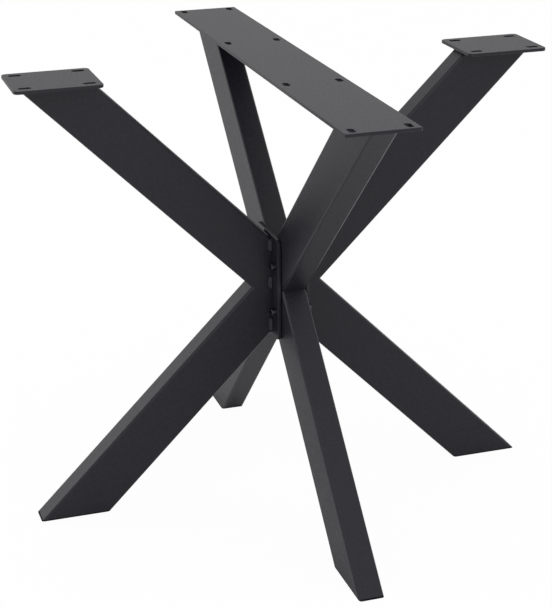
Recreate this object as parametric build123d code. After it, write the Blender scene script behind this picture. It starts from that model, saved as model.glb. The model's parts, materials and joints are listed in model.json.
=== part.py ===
from build123d import *
import math
import os

# Spider table leg of rectangular steel tube: a main frame in the YZ plane carries the long top
# bar, and two side pieces in the XZ plane are bolted to its waist, one from each side.
# Millimetres, +Z up, floor at z = 0, origin below the crossing of the two planes.

# Overall sizes
height = 720.0
side_foot_reach = 418.5
side_top_reach = 415.0
main_foot_reach = 415.5

# Waist, where an upper arm and a lower arm meet: the outer corner of their mitre
side_waist_reach = 58.0
side_waist_height = 360.5
main_waist_reach = 58.5
main_waist_height = 362.5

# Rectangular tube, its wide side in the plane of each X
tube_width = 80.0
tube_thickness = 40.0
tube_wall = 2.0
tube_radius = 4.0

# Steel plates that the table top rests on
plate_thickness = 5.0
plate_edge_chamfer = 0.6
bar_length = 868.0
bar_width = 110.0
bar_corner = 3.0
bar_beyond_arms = 0.5
bar_slot_edge = 14.0
bar_slot_end = 15.5
bar_inner_slot_spacing = 297.0
side_plate_overhang = 10.0
side_plate_width = 116.0
side_plate_corner = 8.0
side_slot_edge = 16.0
side_slot_end = 19.0

# Slots for the screws of the table top, the same in all plates
slot_length = 20.0
slot_width = 10.0

# Bolted joint at the waist
flange_thickness = 5.0
flange_corner = 10.0
flange_rim = 3.0
bolt_from_tube = 22.0
bolt_from_flange_edge = 14.0
bolt_spacing_up = 78.0
bolt_hole_clearance = 0.5
bolt_diameter = 8.0
bolt_length = 20.0
bolt_head_diameter = 13.0
bolt_head_height = 8.0
bolt_head_chamfer = 0.8
bolt_socket = 6.0
bolt_socket_depth = 4.0
nut_head_diameter = 16.0
nut_head_thickness = 1.0
nut_body_flats = 11.0
nut_body_length = 14.0
nut_bulge_diameter = 15.0
nut_bulge_length = 4.0
thread_clearance = 0.05
nut_hole_clearance = 0.1

# Stitch welds between the side tubes and their flange
weld_leg = 4.5
weld_length = 20.0
weld_from_mouth_end = 3.0

# Plastic foot caps pushed into the tube ends
cap_lip = 2.0
cap_wall = 2.0
cap_grip = 18.0
cap_clearance = 0.2

# Derived places
plate_underside = height - plate_thickness
main_top_reach = bar_length / 2 - bar_beyond_arms
flange_back = tube_thickness / 2 + nut_head_thickness
flange_face = flange_back + flange_thickness
joint_height = (side_waist_height + main_waist_height) / 2
bolt_spacing_across = tube_thickness + 2 * bolt_from_tube
flange_width = bolt_spacing_across + 2 * bolt_from_flange_edge


def box_between(low, high):
    """Solid box between two opposite corners."""
    size = [b - a for a, b in zip(low, high)]
    middle = [(a + b) / 2 for a, b in zip(low, high)]
    return Pos(*middle) * Box(*size)


def slope(waist, end):
    """Angle of an arm's outer face above or below the horizontal, in radians."""
    return math.atan2(end[1] - waist[1], end[0] - waist[0])


def tube_section(outset, wall):
    """Rounded tube outline, grown by outset, as a ring of this wall, or full when wall is None."""
    width = tube_width + 2 * outset
    thickness = tube_thickness + 2 * outset
    radius = tube_radius + outset
    ring = RectangleRounded(width, thickness, radius)
    if wall is not None:
        ring -= RectangleRounded(width - 2 * wall, thickness - 2 * wall, max(radius - wall, 0.5))
    return ring


def stick(waist, end, outset, wall):
    """Length of tube along +X whose outer face runs from the waist corner to the end corner."""
    angle = slope(waist, end)
    along = Vector(math.cos(angle), 0, math.sin(angle))
    inward = Vector(-math.sin(angle), 0, math.cos(angle)) * math.copysign(1, angle)
    spare = 2 * tube_width
    start = Vector(waist[0], 0, waist[1]) + inward * (tube_width / 2) - along * spare
    reach = math.hypot(end[0] - waist[0], end[1] - waist[1]) + 2 * spare
    plane = Plane(origin=start, x_dir=inward, z_dir=along)
    return extrude(plane * tube_section(outset, wall), amount=reach)


def slab(inner_x, low_z, high_z):
    """Space between two heights, outward from inner_x, that trims a stick to its cut faces."""
    far = 2 * max(side_foot_reach, side_top_reach, main_foot_reach, main_top_reach)
    return box_between((inner_x, -tube_thickness, low_z), (far, tube_thickness, high_z))


def upper_arm(waist, end, inner_x):
    """Tube from the waist to the underside of a top plate, mitred at the waist."""
    return stick(waist, end, 0, tube_wall) & slab(inner_x, waist[1], plate_underside)


def lower_arm(waist, end, inner_x):
    """Tube from the waist to the lip of its foot cap, mitred at the waist."""
    return stick(waist, end, 0, tube_wall) & slab(inner_x, cap_lip, waist[1])


def foot_cap(waist, end):
    """Plug with thin walls inside the tube, on a lip that follows the slanted tube outline."""
    lip = stick(waist, end, 0, None) & slab(0, 0, cap_lip)
    plug = stick(waist, end, -tube_wall - cap_clearance, cap_wall) & slab(0, cap_lip, cap_lip + cap_grip)
    return lip + plug


def arm_ends(angle, reach_in_plane):
    """X range that a tube at this angle covers where a level plane cuts it, at its outer reach."""
    return reach_in_plane - tube_width / math.sin(abs(angle)), reach_in_plane


def rounded_plate(length, width, thickness, corner):
    """Level plate, top face at z = 0, with rounded corners and softened edges."""
    plate = extrude(RectangleRounded(length, width, corner), amount=-thickness)
    rims = plate.faces().sort_by(Axis.Z)
    return chamfer(rims[0].edges() + rims[-1].edges(), length=plate_edge_chamfer)


def screw_slot(turn):
    """Cutter for one slot, long along X and turned about Z."""
    outline = SlotOverall(slot_length, slot_width)
    return Rot(0, 0, turn) * extrude(outline, amount=2 * plate_thickness, both=True)


def long_bar():
    """Bar across the main frame with two rows of slots that run along it."""
    bar = rounded_plate(bar_width, bar_length, plate_thickness, bar_corner)
    row = bar_width / 2 - bar_slot_edge
    outer = bar_length / 2 - bar_slot_end
    inner = bar_inner_slot_spacing / 2
    for x in (-row, row):
        for y in (-outer, -inner, inner, outer):
            bar -= Pos(x, y, 0) * screw_slot(90)
    return Pos(0, 0, height) * bar


def side_plate():
    """Small plate on the end of a side tube, cut to a whole millimetre, with four slots along X."""
    inner, outer = arm_ends(slope(side_waist, side_top), side_top[0])
    length = round(outer - inner + 2 * side_plate_overhang)
    plate = rounded_plate(length, side_plate_width, plate_thickness, side_plate_corner)
    for x in (-1, 1):
        for y in (-1, 1):
            place = Pos(x * (length / 2 - side_slot_end), y * (side_plate_width / 2 - side_slot_edge), 0)
            plate -= place * screw_slot(0)
    return Pos((inner + outer) / 2, 0, height) * plate


def mouth_reach(end):
    """How far above or below the joint a side tube's mouth on the flange reaches."""
    angle = slope(side_waist, end)
    rise = (flange_face - side_waist[0]) * math.tan(angle)
    across = math.copysign(tube_width / math.cos(angle), angle)
    return abs(side_waist[1] + rise + across - joint_height)


def waist_pattern(shape):
    """Four copies of a shape that points along +X, at the bolt places of the right side."""
    across, up = bolt_spacing_across / 2, bolt_spacing_up / 2
    return [Pos(0, y, joint_height + z) * shape for y in (-across, across) for z in (-up, up)]


def along_x(radius, start, end):
    """Round bar on the X axis between two places."""
    return Pos((start + end) / 2, 0, 0) * Rot(0, 90, 0) * Cylinder(radius, end - start)


def hexagon_along_x(flats, start, end):
    """Hexagonal bar on the X axis between two places, with this size across its flats."""
    face = Plane(origin=(start, 0, 0), x_dir=(0, 1, 0), z_dir=(1, 0, 0))
    return extrude(face * RegularPolygon(flats / 2, 6, major_radius=False), amount=end - start)


def flange_plate():
    """Upright plate that covers both mouths of a side piece's waist, with four bolt holes."""
    height_in_whole_mm = 2 * round(max(mouth_reach(side_top), mouth_reach(side_foot)) + flange_rim)
    face = Plane(origin=(flange_back, 0, joint_height), x_dir=(0, 1, 0), z_dir=(1, 0, 0))
    outline = RectangleRounded(flange_width, height_in_whole_mm, flange_corner)
    plate = extrude(face * outline, amount=flange_thickness)
    rims = plate.faces().sort_by(Axis.X)
    plate = chamfer(rims[0].edges() + rims[-1].edges(), length=plate_edge_chamfer)
    hole = along_x(bolt_diameter / 2 + bolt_hole_clearance, flange_back - 1, flange_face + 1)
    for cut in waist_pattern(hole):
        plate -= cut
    return plate


def cap_screw():
    """Socket head screw that enters along -X, its head on the flange."""
    head = along_x(bolt_head_diameter / 2, flange_face, flange_face + bolt_head_height)
    rim = head.edges().filter_by(GeomType.CIRCLE).sort_by(Axis.X)[-1]
    head = chamfer(rim, length=bolt_head_chamfer)
    shank = along_x(bolt_diameter / 2 - thread_clearance, flange_face - bolt_length, flange_face)
    top = flange_face + bolt_head_height
    return head + shank - hexagon_along_x(bolt_socket, top - bolt_socket_depth, top)


def rivet_nut():
    """Threaded hexagonal sleeve clamped in the tube wall: a thin round head outside and a bulge inside."""
    wall_outside = tube_thickness / 2
    wall_inside = wall_outside - tube_wall
    head = along_x(nut_head_diameter / 2, wall_outside, flange_back)
    body = hexagon_along_x(nut_body_flats, wall_outside - nut_body_length, wall_outside)
    bulge = along_x(nut_bulge_diameter / 2, wall_inside - nut_bulge_length, wall_inside)
    bore = along_x(bolt_diameter / 2, wall_outside - 2 * nut_body_length, flange_back + 1)
    return head + body + bulge - bore


def nut_holes(arm):
    """Main frame arm with the hexagonal holes of the rivet nuts that fall on it, through both wide walls."""
    hole = hexagon_along_x(nut_body_flats + 2 * nut_hole_clearance, -tube_thickness, tube_thickness)
    for cut in waist_pattern(hole):
        arm -= cut
    return arm


def weld_stitch():
    """Fillet weld with a bulging face, along Z, in the corner of the flange and the tube's +Y face."""
    corner = (flange_face, tube_thickness / 2)
    foot_on_tube = (corner[0] + weld_leg, corner[1])
    foot_on_flange = (corner[0], corner[1] + weld_leg)
    crown = (corner[0] + 0.6 * weld_leg, corner[1] + 0.6 * weld_leg)
    outline = Polyline(foot_on_flange, corner, foot_on_tube)
    outline += ThreePointArc(foot_on_tube, crown, foot_on_flange)
    return extrude(make_face(outline), amount=weld_length / 2, both=True)


def weld_row():
    """Three stitches above each other on both wide faces, the outer two near the mouth's ends."""
    bead = weld_stitch()
    mouth = min(mouth_reach(side_top), mouth_reach(side_foot))
    outer = mouth - weld_from_mouth_end - weld_length / 2
    stitches = []
    for z in (-outer, 0, outer):
        place = Pos(0, 0, joint_height + z) * bead
        stitches += [place, mirror(place, about=Plane.XZ)]
    return stitches


def save(name, shapes, turn=0):
    """Write one node, turned about Z from the +X side to where it belongs."""
    shapes = shapes if isinstance(shapes, list) else [shapes]
    solids = [s for shape in shapes for s in (Rot(0, 0, turn) * shape).solids()]
    node = solids[0] if len(solids) == 1 else Compound(children=solids)
    export_step(node, f"parts/{name}.step")
    print(name, len(solids), "solids", round(sum(s.volume for s in solids)), "mm3")


side_waist = (side_waist_reach, side_waist_height)
side_top = (side_top_reach, plate_underside)
side_foot = (side_foot_reach, 0.0)
main_waist = (main_waist_reach, main_waist_height)
main_top = (main_top_reach, plate_underside)
main_foot = (main_foot_reach, 0.0)

os.makedirs("parts", exist_ok=True)

# Main frame: front arms reach towards -Y and back arms towards +Y
for side, turn in (("front", -90), ("back", 90)):
    save(f"{side}_upper_arm", nut_holes(Rot(0, 0, turn) * upper_arm(main_waist, main_top, 0)))
    save(f"{side}_lower_arm", nut_holes(Rot(0, 0, turn) * lower_arm(main_waist, main_foot, 0)))
    save(f"{side}_foot_cap", foot_cap(main_waist, main_foot), turn)
save("long_top_bar", long_bar())

# Side pieces with their screws and the nuts that receive them: the left one is the right one turned round
for side, turn in (("right", 0), ("left", 180)):
    save(f"{side}_upper_arm", upper_arm(side_waist, side_top, flange_face), turn)
    save(f"{side}_lower_arm", lower_arm(side_waist, side_foot, flange_face), turn)
    save(f"{side}_top_plate", side_plate(), turn)
    save(f"{side}_flange_plate", flange_plate(), turn)
    save(f"{side}_flange_welds", weld_row(), turn)
    save(f"{side}_flange_screws", waist_pattern(cap_screw()), turn)
    save(f"{side}_rivet_nuts", waist_pattern(rivet_nut()), turn)
    save(f"{side}_foot_cap", foot_cap(side_waist, side_foot), turn)
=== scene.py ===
# %% [markdown]
# # A spider table leg in black powder coat
#
# The real object is welded from rectangular steel tube and cut plate, blasted, sprayed with a
# fine-textured black powder and baked. The imported model already holds every tube, plate, screw
# and plug at its real size, so this lesson leaves those shapes alone and works on what the eye
# reads as material: how the paint catches light, how a weld bead ripples, how a screw head shines.
# First the imported model is loaded.

# %% Load the imported model
import json
import math

import bmesh
import bpy
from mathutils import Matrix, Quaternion, Vector


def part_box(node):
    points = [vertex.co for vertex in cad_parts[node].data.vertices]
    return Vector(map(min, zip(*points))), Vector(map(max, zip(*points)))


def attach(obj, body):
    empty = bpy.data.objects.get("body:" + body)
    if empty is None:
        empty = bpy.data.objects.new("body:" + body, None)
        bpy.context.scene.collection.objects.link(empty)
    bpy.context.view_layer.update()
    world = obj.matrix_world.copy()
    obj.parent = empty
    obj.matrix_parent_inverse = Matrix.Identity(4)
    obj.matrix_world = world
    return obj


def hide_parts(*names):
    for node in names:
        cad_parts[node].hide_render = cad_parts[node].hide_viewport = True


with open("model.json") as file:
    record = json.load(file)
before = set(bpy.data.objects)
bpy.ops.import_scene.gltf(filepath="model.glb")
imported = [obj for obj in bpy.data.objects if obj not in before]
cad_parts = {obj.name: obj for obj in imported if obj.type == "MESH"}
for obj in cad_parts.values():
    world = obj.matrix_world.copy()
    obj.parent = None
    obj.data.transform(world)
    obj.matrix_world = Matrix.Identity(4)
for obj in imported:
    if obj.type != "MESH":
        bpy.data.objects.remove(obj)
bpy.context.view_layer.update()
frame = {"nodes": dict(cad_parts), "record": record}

MM = 0.001

# %% [markdown]
# ## The camera
#
# A product photograph of furniture is taken from a few metres away with a long lens, so that the
# verticals stay almost parallel. The view is set as an orbit: a point that the lens looks at, a
# direction round it, a distance and a slight roll. The lens follows from how many pixels one
# radian covers, because the sensor's 36 mm lie along the picture's longer side. A camera could
# also be turned by a Track To constraint, but a rotation worked out once leaves nothing live.

# %% Camera
PHOTO_HEIGHT = 607          # pixels along the picture's longer side
PIXELS_PER_RADIAN = 1677.2
SENSOR = 36.0               # mm, as Blender takes it
AIM = Vector((-11.6, 0.0, 319.6)) * MM
ORBIT_AZIMUTH = math.radians(-17.92)
ORBIT_ELEVATION = math.radians(21.14)
ORBIT_DISTANCE = 2731 * MM
ROLL = math.radians(-0.47)


def towards(azimuth, elevation):
    """Unit vector from the object to a place: azimuth 0 is the front, elevation is above the floor."""
    level = math.cos(elevation)
    return Vector((math.sin(azimuth) * level, -math.cos(azimuth) * level, math.sin(elevation)))


def facing(direction):
    """Rotation that points a camera or a lamp, which both look along their own -Z, this way."""
    return direction.to_track_quat("-Z", "Y")


def orbit_camera():
    """Camera on a circle round the aim, turned to it and rolled a little."""
    data = bpy.data.cameras.new("photo_camera")
    data.sensor_width = SENSOR
    data.lens = SENSOR * PIXELS_PER_RADIAN / PHOTO_HEIGHT
    data.dof.use_dof = False
    away = towards(ORBIT_AZIMUTH, ORBIT_ELEVATION)
    camera = bpy.data.objects.new("photo_camera", data)
    camera.location = AIM + away * ORBIT_DISTANCE
    camera.rotation_mode = "QUATERNION"
    camera.rotation_quaternion = facing(-away) @ Quaternion((0, 0, 1), ROLL)
    bpy.context.scene.collection.objects.link(camera)
    bpy.context.scene.camera = camera
    return camera


camera = orbit_camera()
print("camera at", [round(x, 3) for x in camera.location], "lens", round(camera.data.lens, 1), "mm")

# %% [markdown]
# ## Helpers for materials
#
# A colour in a paint chart is an sRGB value, while the renderer adds light in linear numbers, so
# one function turns the first into the second. Another adds a node to a material: its settings
# are fields of the node or values of its sockets, and its links say which socket feeds which.
# A node could be set up line by line, but one call for each keeps a material short enough to read.
# The last one starts a material with nothing in it.

# %% Colour and node helpers
# Most sockets are told by name. Where a node repeats its names, they are told by their place,
# and these are the places on the Mix node, which has a set for numbers and one for colours.
MIX_FACTOR = 0
MIX_NUMBER_A, MIX_NUMBER_B, MIX_NUMBER_RESULT = 2, 3, 0
MIX_COLOUR_A, MIX_COLOUR_B, MIX_COLOUR_RESULT = 6, 7, 2


def linear(hex_colour):
    """Linear RGBA of an sRGB hex colour such as 2a2a2c, by the curve of the sRGB standard."""
    channels = [int(hex_colour[i:i + 2], 16) / 255 for i in (0, 2, 4)]
    return [c / 12.92 if c <= 0.04045 else ((c + 0.055) / 1.055) ** 2.4 for c in channels] + [1.0]


def add_node(tree, kind, settings=None, links=None):
    """New node of this kind. A setting is a field or a socket; a link is socket: (node, output)."""
    node = tree.nodes.new(kind)
    for name, value in (settings or {}).items():
        if isinstance(name, str) and hasattr(node, name):
            setattr(node, name, value)
        else:
            node.inputs[name].default_value = value
    for name, (source, output) in (links or {}).items():
        tree.links.new(source.outputs[output], node.inputs[name])
    return node


def new_material(name):
    """Empty node material and its tree."""
    material = bpy.data.materials.new(name)
    material.use_nodes = True
    material.node_tree.nodes.clear()
    return material, material.node_tree


print("half grey", "808080", "is", round(linear("808080")[0], 3), "in linear light")

# %% [markdown]
# ## Corners that shine
#
# Fine-texture polyester powder melts in the oven into a skin about 0.08 mm thick. On a rounded
# corner the powder runs thin and levels better, so a long corner shows a bright line. The corners
# of the tubes and plates are the places whose normal leans both to X and to Y, so the product of
# those two parts of the normal finds them without any extra geometry. A mask painted on the mesh
# would do the same, but it would have to be painted again whenever a tube changes.

# %% Mask of the rounded corners
CORNER_LEAN = (0.02, 0.15)   # product of X and Y parts where the mask starts and where it is full


def corner_mask(tree):
    """Node whose Result is 1 on a rounded corner of a tube or plate and 0 on a flat face."""
    shape = add_node(tree, "ShaderNodeNewGeometry")
    normal = add_node(tree, "ShaderNodeSeparateXYZ", links={0: (shape, "True Normal")})
    lean = add_node(tree, "ShaderNodeMath", {"operation": "MULTIPLY"},
                    {0: (normal, "X"), 1: (normal, "Y")})
    lean_size = add_node(tree, "ShaderNodeMath", {"operation": "ABSOLUTE"}, {0: (lean, "Value")})
    return add_node(tree, "ShaderNodeMapRange",
                    {"From Min": CORNER_LEAN[0], "From Max": CORNER_LEAN[1],
                     "To Min": 0.0, "To Max": 1.0},
                    {"Value": (lean_size, "Value")})


upright_corner = towards(math.radians(45), 0)
print("the mask is full at", CORNER_LEAN[1], "and the middle of an upright corner has",
      round(abs(upright_corner.x * upright_corner.y), 2))

# %% [markdown]
# ## Powder coat
#
# The skin never quite levels out: it keeps a grain like very fine sandpaper. Seen straight on it
# is almost black, and at a glancing angle it turns grey, because it mirrors the bright studio
# there and the grain spreads that reflection over the whole face. So the colour stays dark and
# nearly even, and roughness, a low reflection and two sizes of bump do the work. Painting the
# faces in different greys would be simpler, but it would look wrong as soon as the light or the
# view changed.

# %% Powder-coated steel
COAT_COLOUR = "111117"      # black with a trace of violet, as polyester black has under white light
COAT_SPECKLE = "1a1a22"     # tops of the grains, which are rubbed a shade paler
COAT_ROUGHNESS = (0.41, 0.52)
CORNER_ROUGHNESS = 0.32
COAT_IOR = 1.5
COAT_SPECULAR = 0.30        # 0.5 is plain polyester; the pits between the grains swallow some light
GRAIN = 3.6 * MM            # the real grain is about 0.3 mm; it is drawn coarser so that it shows
GRAIN_DEPTH = 0.22 * MM
ORANGE_PEEL = 9.0 * MM      # slow waves where the powder ran together before it set
PEEL_DEPTH = 0.25 * MM
NOISE_SPREAD = (0.3, 0.7)   # nearly all values of a noise lie between these
SPECKLE_SPREAD = (0.35, 0.65)   # noise values over which the speckle's colour comes in


def powder_coat():
    """Black polyester powder with a fine grain, baked on steel."""
    material, tree = new_material("fine_texture_powder_coat")
    place = add_node(tree, "ShaderNodeTexCoord")
    grain = add_node(tree, "ShaderNodeTexNoise", {"Scale": 1 / GRAIN, "Detail": 3.0, "Roughness": 0.6},
                     {"Vector": (place, "Object")})
    waves = add_node(tree, "ShaderNodeTexNoise", {"Scale": 1 / ORANGE_PEEL, "Detail": 1.0},
                     {"Vector": (place, "Object")})
    speckle = add_node(tree, "ShaderNodeMapRange",
                       {"From Min": SPECKLE_SPREAD[0], "From Max": SPECKLE_SPREAD[1]},
                       {"Value": (grain, "Fac")})
    colour = add_node(tree, "ShaderNodeMix",
                      {"data_type": "RGBA",
                       MIX_COLOUR_A: linear(COAT_COLOUR), MIX_COLOUR_B: linear(COAT_SPECKLE)},
                      {MIX_FACTOR: (speckle, "Result")})
    gloss = add_node(tree, "ShaderNodeMapRange",
                     {"From Min": NOISE_SPREAD[0], "From Max": NOISE_SPREAD[1],
                      "To Min": COAT_ROUGHNESS[0], "To Max": COAT_ROUGHNESS[1]},
                     {"Value": (grain, "Fac")})
    corner = corner_mask(tree)
    rough = add_node(tree, "ShaderNodeMix", {MIX_NUMBER_B: CORNER_ROUGHNESS},
                     {MIX_FACTOR: (corner, "Result"), MIX_NUMBER_A: (gloss, "Result")})
    peel = add_node(tree, "ShaderNodeBump", {"Strength": 0.5, "Distance": PEEL_DEPTH},
                    {"Height": (waves, "Fac")})
    bump = add_node(tree, "ShaderNodeBump", {"Strength": 1.0, "Distance": GRAIN_DEPTH},
                    {"Height": (grain, "Fac"), "Normal": (peel, "Normal")})
    shader = add_node(tree, "ShaderNodeBsdfPrincipled",
                      {"IOR": COAT_IOR, "Specular IOR Level": COAT_SPECULAR},
                      {"Base Color": (colour, MIX_COLOUR_RESULT),
                       "Roughness": (rough, MIX_NUMBER_RESULT), "Normal": (bump, "Normal")})
    add_node(tree, "ShaderNodeOutputMaterial", links={"Surface": (shader, "BSDF")})
    return material


coat = powder_coat()
print("coat", COAT_COLOUR, "roughness", COAT_ROUGHNESS, "grain", GRAIN / MM, "mm")

# %% [markdown]
# ## Black oxide, zinc and moulded plastic
#
# The screws are hardened steel turned black in a hot salt bath and left slightly oily: a thin,
# smooth, dark skin whose edges shine. It is a coloured oxide on metal and not a paint, so it is
# drawn as a dark metal with a soft gloss. The rivet nuts are zinc plated, a pale bluish metal.
# The foot plugs are moulded polyethylene, a waxy black that is duller than the paint, with the faint
# uneven gloss that a moulded skin has. They are also drawn darker and less reflective than the plastic
# alone would be, as painted shade for the contact shadow under the feet. All three are mottled in one
# way, so they share a function, and only their colour, scale and gloss differ.

# %% Screws, nuts and plugs
OXIDE_MOTTLE = 3.0 * MM
ZINC_SPANGLE = 1.5 * MM
MOULD_TEXTURE = 1.8 * MM    # spark-eroded mould skin, really about 0.1 mm, drawn coarser to show
METAL_DEPTH = 0.02 * MM     # height of the unevenness in a blackened or plated face
PLASTIC_DEPTH = 0.05 * MM


def mottled(name, colour, scale, depth, roughness, settings):
    """Material whose roughness and bump follow one noise of this scale."""
    material, tree = new_material(name)
    place = add_node(tree, "ShaderNodeTexCoord")
    mottle = add_node(tree, "ShaderNodeTexNoise", {"Scale": 1 / scale, "Detail": 4.0},
                      {"Vector": (place, "Object")})
    gloss = add_node(tree, "ShaderNodeMapRange",
                     {"From Min": NOISE_SPREAD[0], "From Max": NOISE_SPREAD[1],
                      "To Min": roughness[0], "To Max": roughness[1]},
                     {"Value": (mottle, "Fac")})
    bump = add_node(tree, "ShaderNodeBump", {"Strength": 0.4, "Distance": depth},
                    {"Height": (mottle, "Fac")})
    shader = add_node(tree, "ShaderNodeBsdfPrincipled", {"Base Color": linear(colour), **settings},
                      {"Roughness": (gloss, "Result"), "Normal": (bump, "Normal")})
    add_node(tree, "ShaderNodeOutputMaterial", links={"Surface": (shader, "BSDF")})
    return material


# Black oxide on steel: dark metal, oiled, so the rims of the heads and sockets catch the light
black_oxide = mottled("black_oxide_steel", "404045", OXIDE_MOTTLE, METAL_DEPTH,
                      roughness=(0.22, 0.34), settings={"Metallic": 1.0})
# Bright zinc: pale bluish metal, dulled a little by its passivation
zinc = mottled("bright_zinc_plate", "b4b8be", ZINC_SPANGLE, METAL_DEPTH,
               roughness=(0.30, 0.45), settings={"Metallic": 1.0})
# Moulded polyethylene: dull waxy black plastic, drawn darker and less reflective still as painted
# shade, so the plugs stand in for the contact shadow and show as a dark line under the feet
polyethylene = mottled("moulded_polyethylene", "08080a", MOULD_TEXTURE, PLASTIC_DEPTH,
                       roughness=(0.75, 0.90), settings={"IOR": 1.51, "Specular IOR Level": 0.1})
print("finishes", [material.name for material in (coat, black_oxide, zinc, polyethylene)])

# %% [markdown]
# ## A finish for every piece
#
# In the model's record each piece names the slot of the material it is made of, so one loop can
# dress them all. The pieces could be given their materials one by one in the interface, but a
# table of four slots is easier to read and leaves none out.

# %% Dress the pieces
FINISH = {
    "powder_coated_steel": coat,
    "black_oxide_screws": black_oxide,
    "zinc_plated_nuts": zinc,
    "black_plastic": polyethylene,
}
slot_of = {part["node"]: part["material_slot"] for part in frame["record"]["subparts"]}
for name, node in frame["nodes"].items():
    node.data.materials.clear()
    node.data.materials.append(FINISH[slot_of[name]])
print({finish: list(slot_of.values()).count(finish) for finish in FINISH})

# %% [markdown]
# ## Weld beads
#
# Each side piece is held to its flange by short stitches of weld in the corner between the plate
# and the tube. A bead is laid by hand as a row of overlapping puddles, so it has crescent ripples
# that lead in the middle, tapered ends, and it never sits exactly where the next one does. The
# packed beads are smooth wedges. A bump could fake the ripples, but the light strips that the
# beads show come from their outline, so they are modelled. First comes the rule for the skin.

# %% Skin of a rippled bead
BEAD_LEG = 6.3 * MM
BEAD_CROWN = 0.85        # height of the face at its middle, as a share of the leg
RIPPLE_PITCH = 2.6 * MM
RIPPLE_HEIGHT = 0.10
RIPPLE_MEAN = 0.6        # near the mean height of a puddle, so that the ripples add no size
RIPPLE_LEAD = 0.8        # how far the middle of a crescent runs ahead, in pitches
END_TAPER = 6            # a higher number keeps the bead full for longer
END_BLUNT = 0.02         # keeps the ends blunt, because the skin would fold at a point


def bead_radius(height, angle, half):
    """Distance of the bead's skin from the corner, for a height along it and an angle round it."""
    across = math.sin(2 * angle) ** 2
    face = 1 - (1 - BEAD_CROWN) * across
    taper = math.sqrt(max(END_BLUNT, 1 - abs(height / half) ** END_TAPER))
    puddle = abs(math.cos(math.pi * (height / RIPPLE_PITCH - RIPPLE_LEAD * across)))
    return BEAD_LEG * face * taper * (1 + RIPPLE_HEIGHT * (puddle - RIPPLE_MEAN))


for degrees in (0, 45):
    radius = bead_radius(0, math.radians(degrees), BEAD_LEG)
    print("skin at", degrees, "degrees is", round(radius / MM, 2), "mm from the corner")

# %% [markdown]
# ## A bead from a rope
#
# A rope of metal is swollen ring by ring to that rule, and the plate and the tube cut a quarter
# out of it. A box could be bent to the same shape, but a rope gives even rows of points along the
# ripples. The skin is made of quads and shaded smooth, while the cut sides and the ends have more
# corners and stay flat.

# %% One bead as a mesh
ROPE_SIDES = 48
RINGS_PER_RIPPLE = 12
QUAD_CORNERS = 4
CUT_TOLERANCE = 0.001 * MM   # points this near the cut count as on it, so no sliver is cut off


def add_bead(target, corner, out, length):
    """Quarter rope in the corner, along Z, facing out: the signs of X and Y away from both plates."""
    rope = bmesh.new()
    bmesh.ops.create_cone(rope, cap_ends=True, segments=ROPE_SIDES, radius1=BEAD_LEG,
                          radius2=BEAD_LEG, depth=length)
    long_edges = [e for e in rope.edges if abs(e.verts[0].co.z - e.verts[1].co.z) > length / 2]
    rings = round(length / RIPPLE_PITCH * RINGS_PER_RIPPLE)
    bmesh.ops.subdivide_edges(rope, edges=long_edges, cuts=rings, use_grid_fill=True)
    for vertex in rope.verts:
        angle = math.atan2(vertex.co.y, vertex.co.x)
        radius = bead_radius(vertex.co.z, angle, length / 2)
        vertex.co.xy = (radius * math.cos(angle), radius * math.sin(angle))
    for inward in ((-1, 0, 0), (0, -1, 0)):
        bmesh.ops.bisect_plane(rope, geom=rope.verts[:] + rope.edges[:] + rope.faces[:],
                               plane_co=(0, 0, 0), plane_no=inward, clear_outer=True,
                               dist=CUT_TOLERANCE)
        bmesh.ops.holes_fill(rope, edges=[e for e in rope.edges if e.is_boundary], sides=0)
    bmesh.ops.scale(rope, vec=(out[0], out[1], 1), verts=rope.verts)
    bmesh.ops.translate(rope, vec=corner, verts=rope.verts)
    bmesh.ops.recalc_face_normals(rope, faces=rope.faces)
    for face in rope.faces:
        face.smooth = len(face.verts) == QUAD_CORNERS
    part = bpy.data.meshes.new("bead")
    rope.to_mesh(part)
    rope.free()
    target.from_mesh(part)
    bpy.data.meshes.remove(part)


print("a ring every", round(RIPPLE_PITCH / RINGS_PER_RIPPLE / MM, 2), "mm")

# %% [markdown]
# ## Where the beads go
#
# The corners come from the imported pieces: the outer face of the flange in X, the wide faces of
# the tube in Y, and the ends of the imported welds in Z. A hand does not repeat itself, so each
# bead is moved by up to a few millimetres and made a little longer or shorter, from a list that
# stays the same in every run. In the photograph the middle bead sits a little high.

# %% Beads on both flanges
BEAD_LENGTH = 22 * MM
# for each bead: how far it is moved up and how much it is lengthened, in mm
BEAD_DRIFT = [(-1.4, 0.6), (4.2, 0.4), (1.2, -0.8), (1.1, 0.5), (-1.2, 1.2), (0.3, -0.6)]


def weld_beads(side, out_x):
    """The six stitches of one side piece as one piece, three on each wide face of the tube."""
    flange_low, flange_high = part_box(f"{side}_flange_plate")
    face_x = flange_low[0] if out_x < 0 else flange_high[0]
    tube_low, tube_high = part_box(f"{side}_upper_arm")
    weld_low, weld_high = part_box(f"{side}_flange_welds")
    middle = (weld_low[2] + weld_high[2]) / 2
    reach = (weld_high[2] - weld_low[2] - BEAD_LENGTH) / 2
    drift = iter(BEAD_DRIFT)
    beads = bmesh.new()
    for out_y, face_y in ((-1, tube_low[1]), (1, tube_high[1])):
        for step in (-1, 0, 1):
            shift, extra = next(drift)
            place = Vector((face_x, face_y, middle + step * reach + shift * MM))
            add_bead(beads, place, (out_x, out_y), BEAD_LENGTH + extra * MM)
    data = bpy.data.meshes.new(f"{side}_weld_beads")
    beads.to_mesh(data)
    beads.free()
    data.materials.append(coat)
    piece = bpy.data.objects.new(f"{side}_weld_beads", data)
    bpy.context.scene.collection.objects.link(piece)
    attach(piece, "root")
    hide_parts(f"{side}_flange_welds")
    return piece


for side, out_x in (("left", -1), ("right", 1)):
    piece = weld_beads(side, out_x)
    print(piece.name, len(piece.data.polygons), "faces")

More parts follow.
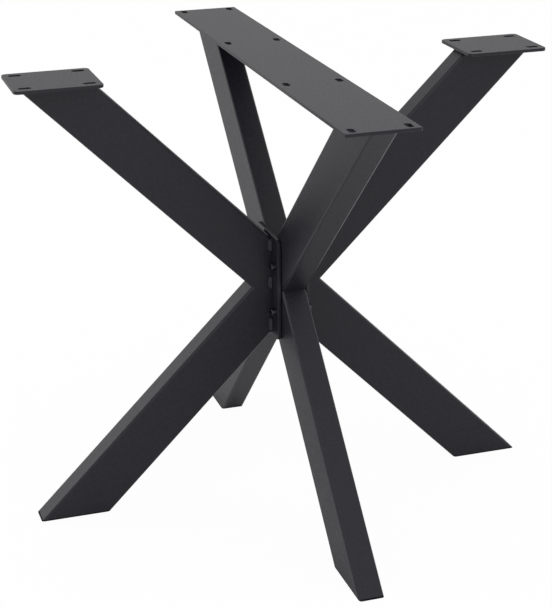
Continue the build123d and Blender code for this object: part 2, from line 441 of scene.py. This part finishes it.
# %% [markdown]
# ## White paper
#
# The object stands on white paper, which hides where the floor ends and throws light up under
# the plates. The paper is drawn as nearly white where the camera sees it, and keeps a share of its
# real shading, so the feet still have their shadow. In reflections it keeps nearly all of its
# real shading: the undersides and the left faces mirror the floor, and the shade on it is what
# darkens them near the waist and the feet. Paper that is only lit would come out light grey,
# unless the lamps were so strong that they bleached the paint.

# %% White floor
FLOOR_SIZE = 40.0        # m, so that its edge is too far away to matter
PAPER_COLOUR = "e8e8e8"
WHITE_SEEN = 0.96        # share of pure white in what the camera sees; the rest is real shading
WHITE_MIRRORED = 0.06    # the same in reflections, where nearly all is real shading


def white_paper():
    """Matt paper, whitened for the camera and hardly at all for reflections."""
    material, tree = new_material("white_paper")
    ray = add_node(tree, "ShaderNodeLightPath")
    seen = add_node(tree, "ShaderNodeMath", {"operation": "MULTIPLY", 1: WHITE_SEEN},
                    {0: (ray, "Is Camera Ray")})
    bounced = add_node(tree, "ShaderNodeMath", {"operation": "MAXIMUM"},
                       {0: (ray, "Is Glossy Ray"), 1: (ray, "Is Transmission Ray")})
    mirrored = add_node(tree, "ShaderNodeMath", {"operation": "MULTIPLY", 1: WHITE_MIRRORED},
                        {0: (bounced, "Value")})
    share = add_node(tree, "ShaderNodeMath", {"operation": "MAXIMUM"},
                     {0: (seen, "Value"), 1: (mirrored, "Value")})
    paper = add_node(tree, "ShaderNodeBsdfDiffuse", {"Color": linear(PAPER_COLOUR)})
    white = add_node(tree, "ShaderNodeEmission", {"Color": linear("ffffff"), "Strength": 1.0})
    mix = add_node(tree, "ShaderNodeMixShader",
                   links={0: (share, "Value"), 1: (paper, "BSDF"), 2: (white, "Emission")})
    add_node(tree, "ShaderNodeOutputMaterial", links={"Surface": (mix, "Shader")})
    material.cycles.emission_sampling = "NONE"
    return material


def studio_floor():
    """One large sheet of paper under the feet."""
    sheet = bmesh.new()
    bmesh.ops.create_grid(sheet, x_segments=1, y_segments=1, size=FLOOR_SIZE / 2)
    data = bpy.data.meshes.new("studio_floor")
    sheet.to_mesh(data)
    sheet.free()
    data.materials.append(white_paper())
    floor = bpy.data.objects.new("studio_floor", data)
    bpy.context.scene.collection.objects.link(floor)


studio_floor()
print("floor", FLOOR_SIZE, "m wide")

# %% [markdown]
# ## The lamps
#
# Black paint shows only what it reflects, so the lighting is really a choice of what to reflect.
# Two broad panels stand low at the back left and brighten the faces turned that way. Two more are
# in front, one low and one overhead, and fill the broad faces. One hard lamp would give small
# glints instead of even faces. An area lamp is given a radiance, which is how bright its surface
# looks next to paper of 1, and its power follows from its size. That makes lamps of different
# sizes easy to compare.

# %% Panels
LAMP_AIM = Vector((0, 0, 0.4))
# name, azimuth and elevation in degrees, distance, width and height in metres, radiance
PANELS = [
    ("back_left_panel", 215, 12, 5.0, 3.0, 2.0, 0.80),
    ("left_back_panel", 245, 12, 5.0, 2.5, 2.0, 1.73),
    ("front_low_panel", -5, 12, 5.0, 3.0, 1.6, 1.62),
    ("top_front_panel", 0, 66, 3.5, 2.0, 2.0, 1.03),
]


def panel(name, azimuth, elevation, distance, width, height, radiance):
    """Rectangular softbox on a circle round the object."""
    data = bpy.data.lights.new(name, "AREA")
    data.shape = "RECTANGLE"
    data.size = width
    data.size_y = height
    data.energy = radiance * math.pi * width * height
    away = towards(math.radians(azimuth), math.radians(elevation))
    lamp = bpy.data.objects.new(name, data)
    lamp.location = LAMP_AIM + away * distance
    lamp.rotation_mode = "QUATERNION"
    lamp.rotation_quaternion = facing(-away)
    bpy.context.scene.collection.objects.link(lamp)
    return lamp


for settings in PANELS:
    print(settings[0], round(panel(*settings).data.energy), "W")

# %% [markdown]
# ## The white room
#
# All round stands a white room, and the top plates turn grey because they mirror it at a glancing
# angle. The world gives it at once, where four walls and a ceiling would each need a lamp of their
# own. The view transform is Standard, which shows a light of 1 as pure white. A filmic transform
# keeps room above that, and the white paper would come out grey.

# %% World and view
ROOM_WHITE = 1.0

world = bpy.data.worlds.new("white_room")
world.use_nodes = True
world.node_tree.nodes["Background"].inputs["Color"].default_value = linear("ffffff")
world.node_tree.nodes["Background"].inputs["Strength"].default_value = ROOM_WHITE
bpy.context.scene.world = world
bpy.context.scene.view_settings.view_transform = "Standard"
print("room of", ROOM_WHITE, "seen through the", bpy.context.scene.view_settings.view_transform, "view")
